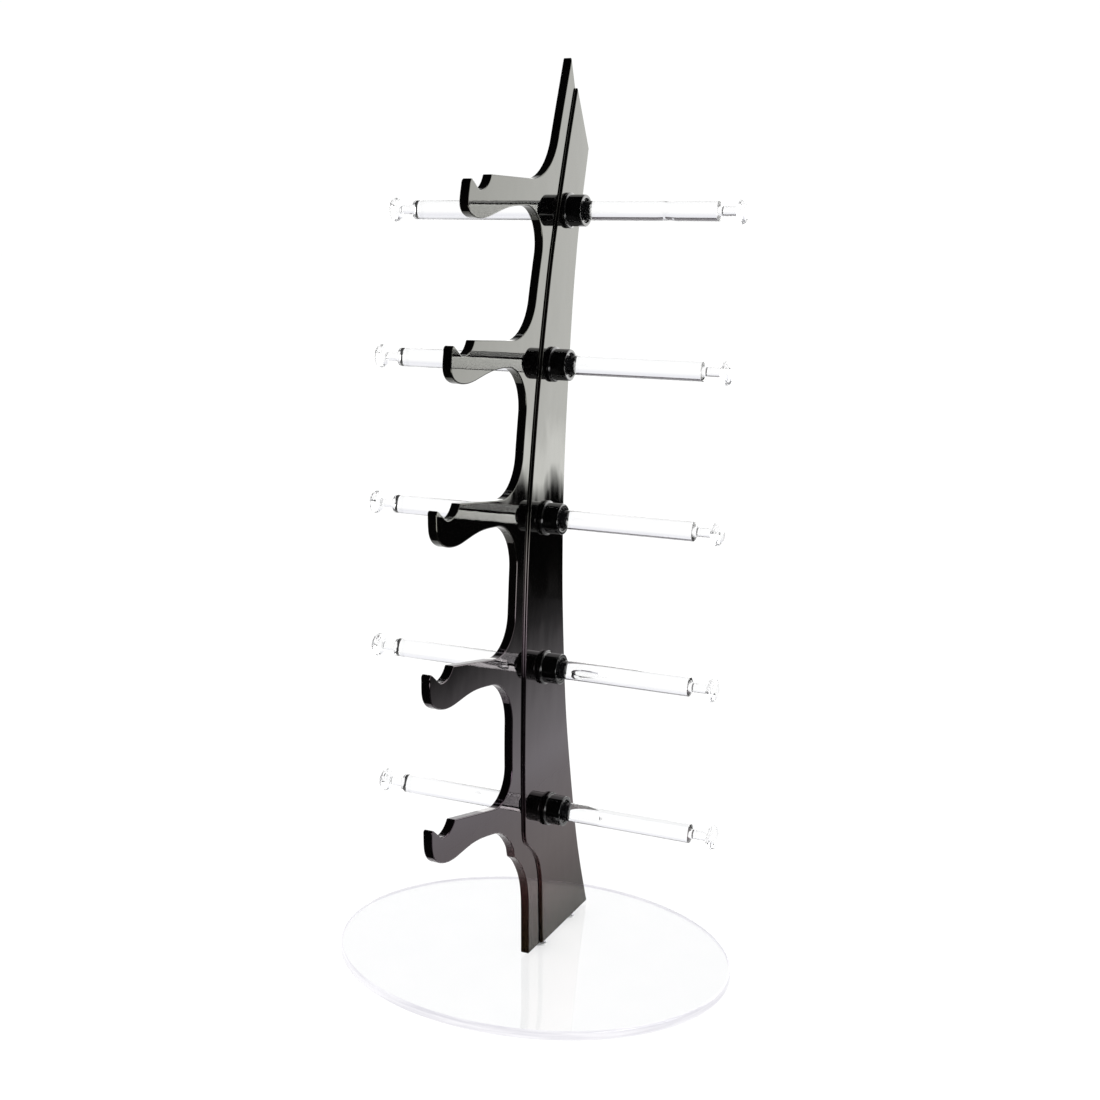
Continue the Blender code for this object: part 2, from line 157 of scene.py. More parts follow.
class Paint:
    """A Principled material and the few node recipes that the finishes share."""

    def __init__(self, name):
        self.material = bpy.data.materials.new(name)
        self.material.use_nodes = True
        self.nodes = self.material.node_tree.nodes
        self.links = self.material.node_tree.links
        self.shader = self.nodes["Principled BSDF"]
        self.place = self.nodes.new("ShaderNodeTexCoord").outputs["Object"]

    def set(self, **values):
        for name, value in values.items():
            self.shader.inputs[name.replace("_", " ")].default_value = value
        return self

    def stretched(self, scale):
        """The place in metres, scaled differently along each axis."""
        mapping = self.nodes.new("ShaderNodeMapping")
        mapping.inputs["Scale"].default_value = scale
        self.links.new(self.place, mapping.inputs["Vector"])
        return mapping.outputs["Vector"]

    def noise(self, scale, detail=3.0, roughness=0.5, vector=None):
        made = self.nodes.new("ShaderNodeTexNoise")
        made.inputs["Scale"].default_value = scale
        made.inputs["Detail"].default_value = detail
        made.inputs["Roughness"].default_value = roughness
        self.links.new(vector or self.place, made.inputs["Vector"])
        return made.outputs["Fac"]

    def span(self, value, low, high, start=0.3, end=0.7):
        """A noise value mapped from start..end to low..high."""
        made = self.nodes.new("ShaderNodeMapRange")
        for name, number in (("From Min", start), ("From Max", end), ("To Min", low), ("To Max", high)):
            made.inputs[name].default_value = number
        self.links.new(value, made.inputs["Value"])
        return made.outputs["Result"]

    def mottled(self, value, first, second):
        """The base colour, between two near shades."""
        ramp = self.nodes.new("ShaderNodeValToRGB")
        ramp.color_ramp.elements[0].position = 0.35
        ramp.color_ramp.elements[1].position = 0.65
        ramp.color_ramp.elements[0].color = (*first, 1.0)
        ramp.color_ramp.elements[1].color = (*second, 1.0)
        self.links.new(value, ramp.inputs["Fac"])
        self.links.new(ramp.outputs["Color"], self.shader.inputs["Base Color"])
        return self

    def painted_reflection_by_height(self, *stops):
        """Painted reflection: the reflections' tint and strength, set by height, from (height in metres,
        tint, strength) stops.
        """
        split = self.nodes.new("ShaderNodeSeparateXYZ")
        ramp = self.nodes.new("ShaderNodeValToRGB")
        while len(ramp.color_ramp.elements) < len(stops):
            ramp.color_ramp.elements.new(0.5)
        for element, (height, tint, strength) in zip(ramp.color_ramp.elements, stops):
            element.position = height
            element.color = (*tint, strength)
        self.links.new(self.place, split.inputs[0])
        self.links.new(split.outputs["Z"], ramp.inputs["Fac"])
        self.links.new(ramp.outputs["Color"], self.shader.inputs["Specular Tint"])
        self.links.new(ramp.outputs["Alpha"], self.shader.inputs["Specular IOR Level"])
        return self

    def rough(self, value):
        self.links.new(value, self.shader.inputs["Roughness"])
        return self

    def bump(self, *layers):
        """Bump from (height, distance in mm) layers."""
        normal = None
        for height, distance in layers:
            made = self.nodes.new("ShaderNodeBump")
            made.inputs["Strength"].default_value = 1.0
            made.inputs["Distance"].default_value = distance * MM
            self.links.new(height, made.inputs["Height"])
            if normal:
                self.links.new(normal, made.inputs["Normal"])
            normal = made.outputs["Normal"]
        self.links.new(normal, self.shader.inputs["Normal"])
        return self


def gloss_black():
    """Polished black moulding: slow flow waves, faint sink marks and a few fine scuffs, with a painted
    reflection tint by height.
    """
    paint = Paint("gloss_black_moulding").set(IOR=1.5)
    paint.mottled(paint.noise(35, 4), (0.0004, 0.0004, 0.0005), (0.0012, 0.001, 0.001))
    scuffs = paint.noise(900, 2, vector=paint.stretched((1.0, 1.0, 0.12)))
    paint.rough(paint.span(scuffs, 0.018, 0.05, 0.4, 0.75))
    waves = paint.noise(11, 1.5, 0.4)
    ripples = paint.noise(60, 2, 0.5, vector=paint.stretched((1.0, 1.0, 0.6)))
    paint.bump((waves, 0.3), (ripples, 0.09))
    # Painted reflection: below about 9 cm the reflections are painted weaker and orange to red towards
    # the foot; higher up they are tinted pink, then cream.
    paint.painted_reflection_by_height(
        (0.006, (1.0, 0.6, 0.2), 0.1), (0.03, (1.0, 0.3, 0.25), 0.25), (0.048, (1.0, 0.5, 0.5), 0.42),
        (0.09, (1.0, 0.72, 0.95), 0.5), (0.15, (1.0, 0.8, 0.9), 0.5), (0.2, (1.0, 1.0, 0.86), 0.5))
    return paint.material


def collar_black():
    """Smooth black collars with a very fine grain."""
    paint = Paint("collar_black_satin").set(IOR=1.5)
    paint.mottled(paint.noise(300, 3), (0.0003, 0.0003, 0.0003), (0.001, 0.001, 0.001))
    paint.rough(paint.span(paint.noise(700, 3), 0.02, 0.05))
    paint.bump((paint.noise(900, 2), 0.0006))
    return paint.material


def clear_acrylic(name, waves, depth, sheen=0.5, clearness=1.0):
    """Clear acrylic with faint drawing waves along X; below 1, clearness makes it hazy."""
    paint = Paint(name).set(Transmission_Weight=clearness, IOR=1.49, Specular_IOR_Level=sheen)
    paint.mottled(paint.noise(60, 2), (0.985, 0.99, 0.992), (0.998, 0.999, 1.0))
    paint.rough(paint.span(paint.noise(400, 3), 0.0, 0.012))
    paint.bump((paint.noise(waves, 1, 0.4, vector=paint.stretched((0.35, 1.0, 1.0))), depth))
    return paint.material


def painted_light_edge():
    """The base plate's rim: painted light, an opaque lavender-grey that stands in for the light within
    the clear rim, with thin darker saw streaks along it.
    """
    paint = Paint("acrylic_painted_light_edge").set(IOR=1.49)
    streaks = paint.noise(120, 3, 0.6, vector=paint.stretched((0.25, 0.25, 6.0)))
    # Painted light: the rim's lavender-grey base colour, not clear acrylic, gives the rim its glow.
    paint.mottled(streaks, (0.74, 0.73, 0.78), (0.92, 0.91, 0.94))
    paint.rough(paint.span(paint.noise(500, 2, vector=paint.stretched((0.3, 0.3, 3.0))), 0.05, 0.2))
    paint.bump((streaks, 0.01))
    return paint.material


def tapped_dark():
    """The tapped bore of a clear peg: dark from the thread that fills it."""
    paint = Paint("tapped_bore_dark").set(IOR=1.15)
    paint.mottled(paint.noise(800, 3), (0.001, 0.001, 0.0012), (0.004, 0.004, 0.0045))
    paint.rough(paint.span(paint.noise(1200, 3), 0.15, 0.35))
    return paint.material


def metal(name, first, second, low, high):
    """Steel between two near shades, with its roughness between low and high."""
    paint = Paint(name).set(Metallic=1.0)
    paint.mottled(paint.noise(500, 4), first, second)
    grain = paint.noise(1500, 3, vector=paint.stretched((0.1, 1.0, 1.0)))
    paint.rough(paint.span(grain, low, high))
    paint.bump((grain, 0.003))
    return paint.material


def pale_floor():
    paint = Paint("pale_floor").set(Specular_IOR_Level=0.0)
    paint.mottled(paint.noise(3, 3), (0.925, 0.925, 0.925), (0.94, 0.94, 0.94))
    paint.rough(paint.span(paint.noise(40, 3), 0.7, 0.8))
    return paint.material


# ---------------------------------------------------------------- mesh helpers

def add_object(name, points, faces, finish=None, sharp_deg=35.0):
    """A mesh object from points in millimetres, smooth except at its sharp edges."""
    mesh = bpy.data.meshes.new(name)
    mesh.from_pydata([(x * MM, y * MM, z * MM) for x, y, z in points], [], faces)
    mesh.validate()
    mesh.shade_smooth()
    mesh.set_sharp_from_angle(angle=math.radians(sharp_deg))
    obj = bpy.data.objects.new(name, mesh)
    bpy.context.scene.collection.objects.link(obj)
    if finish:
        mesh.materials.append(finish)
    return obj


def settle(obj, *cutters):
    """Turn an object's modifiers into its mesh, and drop the tools they used."""
    bpy.context.view_layer.update()
    graph = bpy.context.evaluated_depsgraph_get()
    mesh = bpy.data.meshes.new_from_object(obj.evaluated_get(graph), depsgraph=graph)
    obj.modifiers.clear()
    obj.data = mesh
    for cutter in cutters:
        bpy.data.objects.remove(cutter, do_unlink=True)
    return obj


def shadowless(obj):
    """Keep an object from darkening the floor, as in a studio that is white all round."""
    obj.visible_shadow = False
    obj.visible_diffuse = False


def flatten(obj, corners=40):
    """Shade a mesh's big flat faces flat, and the rest smooth."""
    for polygon in obj.data.polygons:
        polygon.use_smooth = len(polygon.vertices) < corners


def cut(obj, cutter):
    boolean = obj.modifiers.new("cut", "BOOLEAN")
    boolean.operation = "DIFFERENCE"
    boolean.solver = "EXACT"
    boolean.object = cutter


def rounded(profile, radius, steps=4):
    """Round each corner of an open (x, radius) line with a small arc-like curve."""
    points = [profile[0]]
    for before, corner, after in zip(profile, profile[1:], profile[2:]):
        if corner[1] == 0:
            points.append(corner)
            continue
        ends = []
        for other in (before, after):
            reach = math.dist(corner, other)
            share = min(radius / reach, 0.45)
            ends.append([corner[k] + (other[k] - corner[k]) * share for k in (0, 1)])
        for k in range(steps + 1):
            t = k / steps
            mix = ((1 - t) ** 2, 2 * t * (1 - t), t * t)
            curve = (ends[0], corner, ends[1])
            points.append(tuple(sum(m * point[i] for m, point in zip(mix, curve)) for i in (0, 1)))
    return points + [profile[-1]]


def turned(name, profile, finish, segments=TURNED_SEGMENTS, closed=False, sharp_deg=35.0):
    """A solid turned about X from (x, radius) points."""
    points = []
    rings = []
    for x, radius in profile:
        if radius == 0:
            rings.append([len(points)])
            points.append((x, 0.0, 0.0))
            continue
        rings.append([len(points) + k for k in range(segments)])
        for k in range(segments):
            angle = 2 * math.pi * k / segments
            points.append((x, radius * math.cos(angle), radius * math.sin(angle)))
    pairs = list(zip(rings, rings[1:]))
    if closed:
        pairs.append((rings[-1], rings[0]))
    faces = []
    for first, second in pairs:
        for k in range(segments):
            after = (k + 1) % segments
            corners = [first[k % len(first)], first[after % len(first)]]
            corners += [second[after % len(second)], second[k % len(second)]]
            faces.append(list(dict.fromkeys(corners)))
    return add_object(name, points, faces, finish, sharp_deg)


def spline(points, steps=SPLINE_STEPS):
    """A smooth line through all the points, with each tangent weighed by the spacing beside it."""
    runs = [math.dist(a, b) for a, b in zip(points, points[1:])]
    ways = [((b[0] - a[0]) / run, (b[1] - a[1]) / run) for a, b, run in zip(points, points[1:], runs)]
    tangents = [ways[0]]
    for i in range(1, len(ways)):
        before, after = runs[i - 1], runs[i]
        mix = [(ways[i][n] * before + ways[i - 1][n] * after) / (before + after) for n in (0, 1)]
        tangents.append(mix)
    tangents.append(ways[-1])
    line = []
    for i, run in enumerate(runs):
        for k in range(steps):
            t = k / steps
            start = (1 + 2 * t) * (1 - t) ** 2
            leave = t * (1 - t) ** 2 * run
            arrive = -t * t * (1 - t) * run
            line.append(tuple(
                start * points[i][n] + (1 - start) * points[i + 1][n]
                + leave * tangents[i][n] + arrive * tangents[i + 1][n] for n in (0, 1)))
    return line + [points[-1]]


# ---------------------------------------------------------------- the upright's outline

def slope(table, i):
    """The table's slope at point i, from its neighbours."""
    first = table[max(i - 1, 0)]
    last = table[min(i + 1, len(table) - 1)]
    return (last[1] - first[1]) / (last[0] - first[0])


def edge_y(table, height):
    """Y of one of the upright's edges: a cubic curve through the table's points."""
    i = 0
    while i < len(table) - 2 and height > table[i + 1][0]:
        i += 1
    span = table[i + 1][0] - table[i][0]
    t = (height - table[i][0]) / span
    ends = (1 + 2 * t) * (1 - t) ** 2 * table[i][1] + t * t * (3 - 2 * t) * table[i + 1][1]
    bend = t * (1 - t) ** 2 * slope(table, i) - t * t * (1 - t) * slope(table, i + 1)
    return ends + span * bend


def from_hook(tier, u, w):
    """(y, height) of a point given in a hook's own axes."""
    tilt = math.radians(HOOK_TILT[tier])
    y = NOTCH_Y[tier] - u * math.cos(tilt) + w * math.sin(tilt)
    return y, NOTCH_HEIGHT[tier] + u * math.sin(tilt) + w * math.cos(tilt)


def arm_root(tier, w):
    """The u at which the hook's line of height w meets the front edge."""
    low, high = -150.0, 0.0
    while high - low > 0.001:
        middle = (low + high) / 2
        y, height = from_hook(tier, middle, w)
        if y > edge_y(FRONT_EDGE, height):
            low = middle
        else:
            high = middle
    return low


def fillet(start, corner, end):
    """Arc from start to end, which lie at one distance from the corner between them."""
    run = math.dist(start, corner)
    ways = [((p[0] - corner[0]) / run, (p[1] - corner[1]) / run) for p in (start, end)]
    half = math.acos(ways[0][0] * ways[1][0] + ways[0][1] * ways[1][1]) / 2
    radius = run * math.tan(half)
    reach = radius / math.sin(half) / (2 * math.cos(half))
    centre = [corner[k] + (ways[0][k] + ways[1][k]) * reach for k in (0, 1)]
    first = math.atan2(start[1] - centre[1], start[0] - centre[0])
    turn = math.atan2(end[1] - centre[1], end[0] - centre[0]) - first
    turn = (turn + math.pi) % (2 * math.pi) - math.pi
    angles = [first + turn * k / FILLET_STEPS for k in range(FILLET_STEPS + 1)]
    return [(centre[0] + radius * math.cos(a), centre[1] + radius * math.sin(a)) for a in angles]


def notch(tier):
    """The rear wall and bottom of the notch: one arc from the arm's top to the bottom."""
    top = math.pi + math.asin((NOTCH_RADIUS - ARM_TOP) / NOTCH_RADIUS)
    bottom = math.radians(NOTCH_END_DEG)
    points = []
    for k in range(NOTCH_STEPS + 1):
        angle = top + (bottom - top) * k / NOTCH_STEPS
        u = NOTCH_CENTRE_U + NOTCH_RADIUS * math.cos(angle)
        points.append(from_hook(tier, u, NOTCH_RADIUS + NOTCH_RADIUS * math.sin(angle)))
    return points


def on_front(height):
    return edge_y(FRONT_EDGE, height), height


def hook(tier):
    """The outline of one hook, from the front edge above it to the front edge below."""
    root = arm_root(tier, ARM_TOP)
    corner = from_hook(tier, root, ARM_TOP)
    start = on_front(corner[1] + FILLET_ABOVE)
    run = math.dist(start, corner)
    points = fillet(start, corner, from_hook(tier, root + run, ARM_TOP))
    points += notch(tier)
    nub = [from_hook(tier, u + NUB_LEAN[tier] * w, w) for u, w in NUB]
    tip = min(y for y, height in nub)
    points += [(max(y, tip), height) for y, height in spline(nub)]
    root = arm_root(tier, ARM_UNDERSIDE)
    corner = from_hook(tier, root, ARM_UNDERSIDE)
    end = on_front(corner[1] - FILLET_BELOW)
    run = math.dist(end, corner)
    return points + fillet(from_hook(tier, root + run, ARM_UNDERSIDE), corner, end)


def front_line():
    """The upright's front outline from the apex down to the foot."""
    points = [APEX]
    for tier in range(len(PEG_Y)):
        arm = hook(tier)
        above, below = points[-1][1], arm[0][1]
        count = max(int((above - below) / 2.0), 2)
        points += [on_front(above + (below - above) * k / count) for k in range(1, count)]
        points += arm
    while points[-1][1] < FOOT_FRONT[0][1] + FOOT_CLEARANCE:
        points.pop()
    return points + spline(FOOT_FRONT) + [(FOOT_FRONT_Y, 0.0)]


def table_line(table):
    """Points along one of the upright's edges, bottom to top."""
    low, high = table[0][0], table[-1][0]
    heights = [low + (high - low) * k / EDGE_STEPS for k in range(EDGE_STEPS + 1)]
    return [(edge_y(table, height), height) for height in heights]


# ---------------------------------------------------------------- pieces

def upright_mesh(finish):
    """The upright: web and hooks between +-WEB_HALF, rear part between +-REAR_HALF."""
    front = front_line()
    step = [(FOOT_STEP_Y, 0.0)] + spline(FOOT_STEP[::-1] + [(STEP_EDGE[0][1], STEP_EDGE[0][0])])[:-1]
    step += table_line(STEP_EDGE)
    back = table_line(BACK_EDGE)
    points = []

    def layer(line, x):
        start = len(points)
        points.extend((x, y, height + BASE_THICKNESS) for y, height in line)
        return list(range(start, len(points)))

    sides = {}
    for side in (1, -1):
        web_front = layer(front, side * WEB_HALF)
        web_step = layer(step, side * WEB_HALF)
        rear_step = layer(step, side * REAR_HALF)
        rear_back = layer(back, side * REAR_HALF)
        sides[side] = (web_front, web_step, rear_step, rear_back)
    faces = []
    for side, (web_front, web_step, rear_step, rear_back) in sides.items():
        web = web_front + web_step
        rear = rear_back + rear_step[::-1]
        shelf = [[a, b, c, d] for a, b, c, d in zip(rear_step, rear_step[1:], web_step[1:], web_step)]
        for face in [web, rear] + shelf:
            faces.append(face if side == 1 else face[::-1])
    right, left = sides[1], sides[-1]
    # The front and back edges.
    for one, other in ((right[0], left[0]), (right[3], left[3])):
        faces += [[a, c, d, b] for a, b, c, d in zip(one, one[1:], other, other[1:])]
    # The pointed top.
    faces.append([right[1][-1], left[1][-1], left[0][0], right[0][0]])
    faces.append([right[3][-1], left[3][-1], left[1][-1], right[1][-1]])
    faces.append([right[2][-1], right[3][-1], right[1][-1]])
    faces.append([left[3][-1], left[2][-1], left[1][-1]])
    # The sole of the foot.
    faces.append([left[0][-1], left[1][0], right[1][0], right[0][-1]])
    faces.append([left[1][0], left[3][0], right[3][0], right[1][0]])
    faces.append([right[3][0], right[2][0], right[1][0]])
    faces.append([left[2][0], left[3][0], left[1][0]])
    return add_object("upright_moulding", points, faces, finish)


def make_upright(finish):
    """The upright with rounded edges, the stud holes and the two screw holes in its foot."""
    upright = upright_mesh(finish)
    bevel = upright.modifiers.new("edges", "BEVEL")
    bevel.width = EDGE_ROUNDING * MM
    bevel.segments = 4
    bevel.limit_method = "ANGLE"
    bevel.angle_limit = math.radians(32)
    bevel.use_clamp_overlap = False
    settle(upright)
    flatten(upright)
    cutters = []
    reach = REAR_HALF + 1
    radius = STUD_RADIUS + GAP
    for y, height in zip(PEG_Y, PEG_HEIGHT):
        profile = [(-reach, 0), (-reach, radius), (reach, radius), (reach, 0)]
        drill = turned("drill", profile, None, 32)
        drill.location = (0, y * MM, (height + BASE_THICKNESS) * MM)
        cut(upright, drill)
        cutters.append(drill)
    for y in SCREW_Y.values():
        drill = upward(turned("drill", screw_bore(), None, 32), y)
        cut(upright, drill)
        cutters.append(drill)
    settle(upright, *cutters)
    shadowless(upright)
    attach(upright, "stand")
    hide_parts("upright")


def upward(obj, y):
    """Stand an object that was turned about X on the Z axis, at a screw's place."""
    obj.rotation_euler = (0, -math.pi / 2, 0)
    obj.location = (0, y * MM, 0)
    return obj


def screw_bore():
    """The countersunk hole through the plate and into the foot."""
    return [(-1, 0), (-1, 3.3), (0.6, 3.3), (1.9, 1.8), (15.3, 1.8), (15.3, 0)]


def make_screws(finish):
    """Two countersunk screws with cross recesses, up into the foot."""
    profile = [(0.3, 0), (0.3, 2.9), (0.5, 3.0), (0.6, 3.0), (1.9, 1.5), (2.6, 1.45)]
    x = 2.8
    while x < 13.6:
        profile += [(x, 1.15), (x + 0.3, 1.5), (x + 0.4, 1.5)]
        x += THREAD_PITCH
    profile += [(14.2, 1.1), (15.0, 0.3), (15.0, 0)]
    for place, y in SCREW_Y.items():
        screw = turned("base_screw_%s_turned" % place, profile, finish, 32)
        bars = []
        for turn in (0, math.pi / 2):
            bar = turned("bar", [(0, 0), (0, 0.42), (1.1, 0.25), (1.1, 0)], None, 4)
            bar.scale = (1, 1, 4.2)
            bar.rotation_euler = (turn, 0, 0)
            cut(screw, bar)
            bars.append(bar)
        settle(screw, *bars)
        upward(screw, y)
        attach(screw, "stand")
        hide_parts("base_screw_%s" % place)


def make_base(finish, edge_painted_light):
    """The clear oval plate with its polished, slightly rounded rim."""
    ring = [(0.0, 1.4), (0.04, 0.75), (0.18, 0.32), (0.42, 0.08), (0.75, 0.0)]
    section = ring[::-1] + [(inset, BASE_THICKNESS - height) for inset, height in ring]
    segments = BASE_SEGMENTS
    points = []
    for inset, height in section:
        for k in range(segments):
            angle = 2 * math.pi * k / segments
            x = (BASE_HALF_WIDTH - inset) * math.cos(angle)
            points.append((x, (BASE_HALF_DEPTH - inset) * math.sin(angle), height))
    faces = [list(range(segments))[::-1]]
    faces.append(list(range(len(points) - segments, len(points))))
    for low in range(0, len(points) - segments, segments):
        for k in range(segments):
            after = (k + 1) % segments
            faces.append([low + k, low + after, low + segments + after, low + segments + k])
    base = add_object("base_oval", points, faces, finish, 50)
    # The rim's rounded faces get the painted light of the edge material.
    base.data.materials.append(edge_painted_light)
    flatten(base)
    for polygon in base.data.polygons:
        polygon.material_index = 1 if polygon.use_smooth else 0
    cutters = []
    for y in SCREW_Y.values():
        drill = upward(turned("drill", screw_bore(), None, 32), y)
        cut(base, drill)
        cutters.append(drill)
    settle(base, *cutters)
    shadowless(base)
    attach(base, "stand")
    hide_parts("base_plate")


def collar_line():
    """A flanged sleeve with a rounded rim and a shallow recess for the peg."""
    bore = STUD_RADIUS + GAP
    recess = COLLAR_END - RECESS_DEPTH
    line = [(6.0, bore), (COLLAR_START, bore), (COLLAR_START, FLANGE_RADIUS)]
    line += [(FLANGE_END, FLANGE_RADIUS), (FLANGE_END + 0.12, COLLAR_RADIUS), (COLLAR_END, COLLAR_RADIUS)]
    line += [(COLLAR_END, RECESS_RADIUS), (recess, RECESS_RADIUS - 0.1), (recess, bore), (8.0, bore)]
    return rounded(line, COLLAR_ROUNDING)


def peg_line(waist=None):
    """The clear part from root face to faintly ringed ball, with X counted from the root."""
    line = [(PEG_START, PEG_RADIUS - 0.03), (PEG_SHOULDER, PEG_RADIUS), (SHOULDER_END, PEG_RADIUS)]
    line += [(SHOULDER_END + 0.2, 3.0), (NECK_START, NECK_RADIUS), (NECK_END, NECK_RADIUS)]
    if waist:
        middle, half, depth = waist
        steps = [k / 8 for k in range(-8, 9)]
        dips = [(middle + half * t, 3.96 - depth * math.cos(t * math.pi / 2) ** 2) for t in steps]
        line = line[:1] + dips + line[1:]
    body = rounded([(PEG_START, 3.2)] + line, PEG_ROUNDING)[:-1]
    line = [(PEG_START, STUD_RADIUS + GAP), (PEG_START, 3.0)] + body
    for k in range(KNOB_STEPS):
        angle = math.radians(KNOB_START_DEG * (1 - k / KNOB_STEPS))
        ring = 1.0 - KNOB_RING_DEPTH * (1.0 + math.cos(KNOB_RINGS * angle))
        x = KNOB_CENTRE + KNOB_HALF_LENGTH * ring * math.cos(angle)
        line.append((x, KNOB_RADIUS * ring * math.sin(angle)))
    line.append((KNOB_CENTRE + KNOB_HALF_LENGTH * (1.0 - 2 * KNOB_RING_DEPTH), 0.0))
    return [(x - PEG_START, radius) for x, radius in line]


def bore_line():
    """The tapped bore from its bottom to the root face."""
    line = [(PEG_BORE_END, 0.0), (PEG_BORE_END, 2.4)]
    x = PEG_BORE_END - 0.2
    while x > PEG_START + 0.4:
        line += [(x, 2.66), (x - THREAD_PITCH / 2, 2.55)]
        x -= THREAD_PITCH
    line.append((PEG_START, STUD_RADIUS + GAP))
    return [(x - PEG_START, radius) for x, radius in line]


def stud_line():
    """The threaded stud from end to end, with its thread as rings."""
    line = [(-STUD_HALF, 0), (-STUD_HALF, 1.9)]
    pitch = (2 * STUD_HALF - 1.0) / STUD_THREADS
    for k in range(STUD_THREADS):
        x = -STUD_HALF + 0.5 + k * pitch
        line += [(x, 2.45), (x + 0.12, 2.45), (x + 0.45, 2.1), (x + 0.52, 2.1)]
    return line + [(STUD_HALF - 0.5, 2.45), (STUD_HALF, 1.9), (STUD_HALF, 0)]


def make_bubble(x, y, z, half, radius):
    """The shape of a bubble inside a rod: long, with a blunt end towards the root."""
    line = []
    for k in range(13):
        angle = math.pi * (1 - k / 12)
        width = radius * math.sin(angle) * (1.0 - 0.25 * math.cos(angle))
        line.append((half * math.cos(angle), 0.0 if k in (0, 12) else width))
    bubble = turned("bubble", line, None, 24)
    bubble.location = ((x - PEG_START) * MM, y * MM, z * MM)
    return bubble


def make_peg(tier, side, place, turn, finishes):
    """A clear peg with its dark bore, its hazier end and its bubbles."""
    name = "peg_%d_%s" % (tier, side)
    bore = bore_line()
    clear = peg_line(WAISTS.get((tier, side)))
    peg = turned(name + "_rod", bore[:-1] + clear, finishes["clear"], sharp_deg=60)
    peg.data.materials.append(finishes["tapped"])
    peg.data.materials.append(finishes["hazy"])
    for polygon in peg.data.polygons:
        centre = polygon.center
        radius = math.hypot(centre.y, centre.z)
        if centre.x < (PEG_BORE_END - PEG_START + 0.1) * MM and radius < 2.82 * MM:
            polygon.material_index = 1
        if centre.x > (PEG_SHOULDER - PEG_START) * MM:
            polygon.material_index = 2
    bubbles = [make_bubble(*shape) for shape in BUBBLES.get((tier, side), [])]
    for bubble in bubbles:
        cut(peg, bubble)
    if bubbles:
        settle(peg, *bubbles)
    peg.location = place
    peg.rotation_euler = (0, 0, turn)
    shadowless(peg)
    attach(peg, name)
    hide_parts(name)


def make_tier(tier, finishes):
    """A stud with two collars and two pegs."""
    y, z = PEG_Y[tier - 1] * MM, (PEG_HEIGHT[tier - 1] + BASE_THICKNESS) * MM
    stud = turned("stud_%d_thread" % tier, stud_line(), finishes["stud"], 32)
    stud.location = (0, y, z)
    shadowless(stud)
    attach(stud, "stand")
    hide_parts("stud_%d" % tier)
    for side, sign, turn in (("right", 1, 0.0), ("left", -1, math.pi)):
        name = "collar_%d_%s" % (tier, side)
        collar = turned(name + "_ring", collar_line(), finishes["collar"], closed=True)
        collar.location = (0, y, z)
        collar.rotation_euler = (0, 0, turn)
        shadowless(collar)
        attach(collar, "stand")
        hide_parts(name)
        make_peg(tier, side, (sign * PEG_START * MM, y, z), turn, finishes)


# ---------------------------------------------------------------- studio

def flat_sheet(name, corners, finish):
    """A stage object of one four-cornered face, with its corners in metres."""
    mesh = bpy.data.meshes.new(name)
    mesh.from_pydata(corners, [], [[0, 1, 2, 3]])
    sheet = bpy.data.objects.new(name, mesh)
    bpy.context.scene.collection.objects.link(sheet)
    mesh.materials.append(finish)
    return sheet


def glossy_only(obj):
    obj.visible_camera = False
    obj.visible_diffuse = False
    obj.visible_transmission = False
    obj.visible_shadow = False
    obj.visible_volume_scatter = False


def make_floor():
    side, z = FLOOR_HALF, FLOOR_HEIGHT
    corners = [(-side, -side, z), (side, -side, z), (side, side, z), (-side, side, z)]
    flat_sheet("floor", corners, pale_floor())


def dark_card():
    """A dark card high behind on the left that only the clear parts show."""
    paint = Paint("card_grey").set(Base_Color=(0.0, 0.0, 0.0, 1.0), Roughness=1.0, Specular_IOR_Level=0.0)
    paint.set(Emission_Color=(0.1, 0.09, 0.1, 1.0), Emission_Strength=1.0)
    corners = [(-1.1, 2, 1.43), (-0.5, 2, 1.43), (-1.0, 2, 6.0), (-2.8, 2, 6.0)]
    card = flat_sheet("card", corners, paint.material)
    glossy_only(card)
    card.visible_glossy = False
    card.visible_transmission = True


def graded_light(name, start, end, levels, tint, swing):
    """Light graded from start to end by (place, brightness) levels, for a sheet that spans Y or
    Z and has 0 for the other. The swing moves the places to and fro across the sheet."""
    material = bpy.data.materials.new(name)
    material.use_nodes = True
    nodes, links = material.node_tree.nodes, material.node_tree.links
    nodes.clear()
    place = nodes.new("ShaderNodeTexCoord")
    split = nodes.new("ShaderNodeSeparateXYZ")
    total = nodes.new("ShaderNodeMath")
    turn = nodes.new("ShaderNodeMath")
    wave = nodes.new("ShaderNodeMath")
    along = nodes.new("ShaderNodeMath")
    span = nodes.new("ShaderNodeMapRange")
    ramp = nodes.new("ShaderNodeValToRGB")
    light = nodes.new("ShaderNodeEmission")
    out = nodes.new("ShaderNodeOutputMaterial")
    span.inputs["From Min"].default_value = start
    span.inputs["From Max"].default_value = end
    peak = max(level for where, level in levels)
    light.inputs["Strength"].default_value = peak
    elements = ramp.color_ramp.elements
    while len(elements) < len(levels):
        elements.new(0.5)
    for element, (where, level) in zip(elements, levels):
        element.position = (where - start) / (end - start)
        element.color = (*[level / peak * part for part in tint], 1.0)
    turn.operation = along.operation = "MULTIPLY_ADD"
    wave.operation = "COSINE"
    turn.inputs[1].default_value = 2 * math.pi / SWING_LENGTH
    turn.inputs[2].default_value = SWING_PHASE
    along.inputs[1].default_value = -swing
    links.new(place.outputs["Object"], split.inputs[0])
    links.new(split.outputs["Y"], total.inputs[0])
    links.new(split.outputs["Z"], total.inputs[1])
    links.new(split.outputs["X"], turn.inputs[0])
    links.new(turn.outputs["Value"], wave.inputs[0])
    links.new(wave.outputs["Value"], along.inputs[0])
    links.new(total.outputs["Value"], along.inputs[2])
    links.new(along.outputs["Value"], span.inputs["Value"])
    links.new(span.outputs["Result"], ramp.inputs["Fac"])
    links.new(ramp.outputs["Color"], light.inputs["Color"])
    links.new(light.outputs["Emission"], out.inputs["Surface"])
    return material


